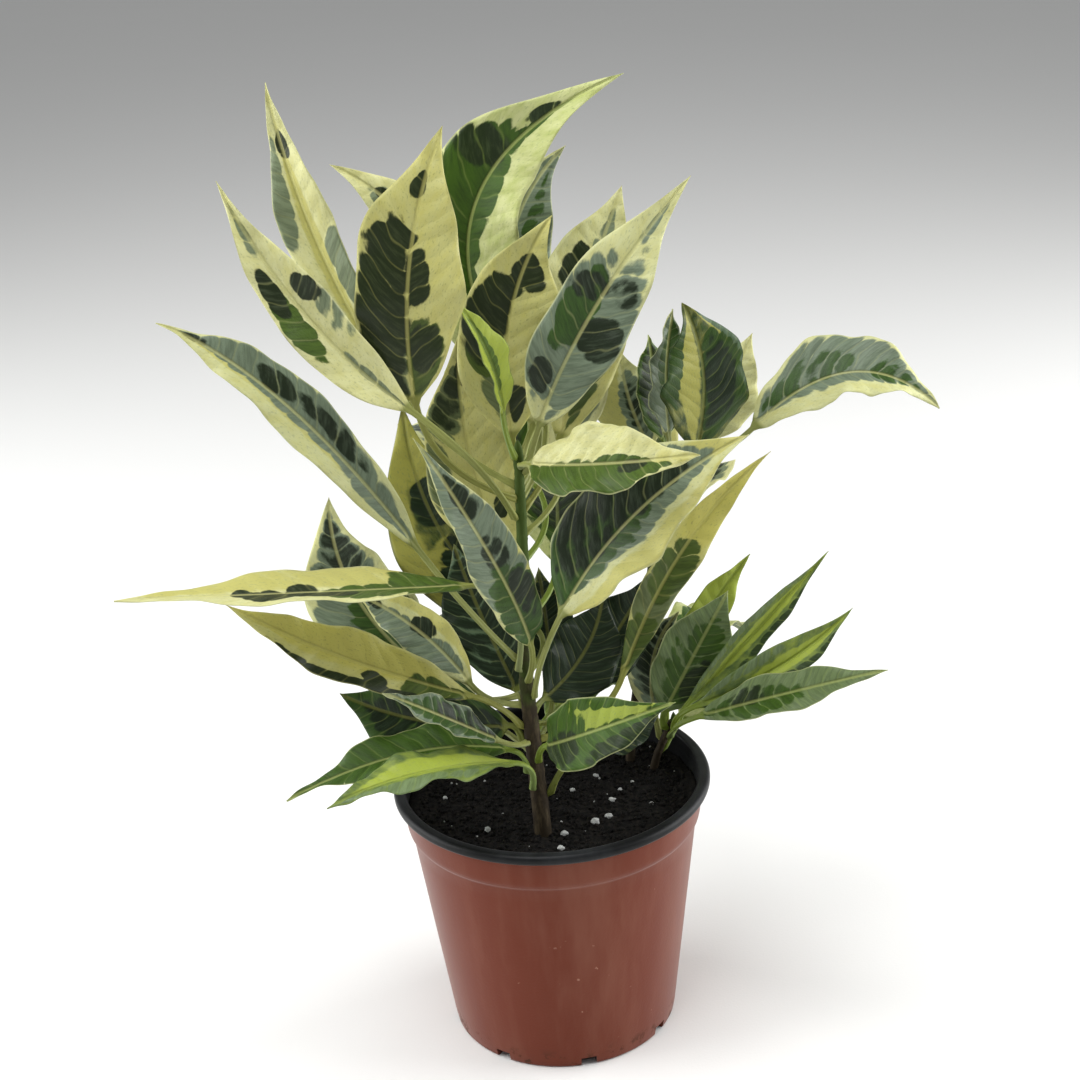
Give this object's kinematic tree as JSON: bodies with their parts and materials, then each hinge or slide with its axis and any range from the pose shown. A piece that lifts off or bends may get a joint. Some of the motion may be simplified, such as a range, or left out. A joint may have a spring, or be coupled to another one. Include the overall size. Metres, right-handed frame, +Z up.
{
  "type": "potted croton",
  "caption": "Leafy potted croton with variegated blades on upright stems, in a round tapered nursery pot filled with dark peat mix.",
  "frame": {"origin": "centre of the flat underside of the pot, on the floor it stands on", "axes": "+Z up along the pot, -Y towards the side shown in the picture, +X to the right in it"},
  "size_m": [0.3407, 0.2172, 0.4282],
  "materials": {
    "pot": "matt terracotta outside, black inside",
    "soil": "crumbly dark peat with white grains",
    "stem": "woody bark, greener above",
    "leaf_cream": "satin leaf blade, cream with green marks",
    "leaf_olive": "satin leaf blade, yellow olive with dark marks",
    "leaf_marbled": "satin leaf blade, grey green with pale edges",
    "leaf_green": "satin leaf blade, mid green",
    "leaf_dark": "satin leaf blade, dark green",
    "leaf_lime": "satin leaf blade, lime green"
  },
  "bodies": {
    "root": {"pot": "pot", "potting_soil": "soil", "stem_main": "stem", "stem_back": "stem", "stem_right": "stem", "leaf_crown_01": "leaf_cream", "leaf_crown_02": "leaf_cream", "leaf_crown_03": "leaf_olive", "leaf_crown_04": "leaf_cream", "leaf_crown_05": "leaf_green", "leaf_crown_06": "leaf_marbled", "leaf_crown_07": "leaf_olive", "leaf_crown_08": "leaf_lime", "leaf_crown_09": "leaf_marbled", "leaf_crown_10": "leaf_cream", "leaf_crown_11": "leaf_cream", "leaf_middle_01": "leaf_olive", "leaf_middle_02": "leaf_dark", "leaf_middle_03": "leaf_marbled", "leaf_middle_04": "leaf_cream", "leaf_middle_05": "leaf_marbled", "leaf_middle_06": "leaf_marbled", "leaf_middle_07": "leaf_dark", "leaf_middle_08": "leaf_marbled", "leaf_middle_09": "leaf_marbled", "leaf_middle_10": "leaf_olive", "leaf_middle_11": "leaf_dark", "leaf_middle_12": "leaf_dark", "leaf_back_01": "leaf_marbled", "leaf_back_02": "leaf_dark", "leaf_back_03": "leaf_marbled", "leaf_back_04": "leaf_green", "leaf_back_05": "leaf_marbled", "leaf_back_06": "leaf_cream", "leaf_right_01": "leaf_lime", "leaf_right_02": "leaf_lime", "leaf_right_03": "leaf_green", "leaf_right_04": "leaf_lime", "leaf_right_05": "leaf_green", "leaf_right_06": "leaf_marbled", "leaf_low_01": "leaf_green", "leaf_low_02": "leaf_dark", "leaf_low_03": "leaf_green", "leaf_low_04": "leaf_lime", "leaf_low_05": "leaf_dark", "leaf_low_06": "leaf_marbled", "leaf_low_07": "leaf_olive", "leaf_rear_01": "leaf_cream", "leaf_rear_02": "leaf_marbled", "leaf_rear_03": "leaf_green", "leaf_rear_04": "leaf_dark", "leaf_rear_05": "leaf_cream", "leaf_rear_06": "leaf_green", "leaf_rear_07": "leaf_lime", "leaf_rear_08": "leaf_olive", "leaf_rear_09": "leaf_green", "leaf_rear_10": "leaf_marbled", "leaf_rear_11": "leaf_olive", "leaf_rear_12": "leaf_green", "leaf_rear_13": "leaf_dark"}
  },
  "joints": []
}
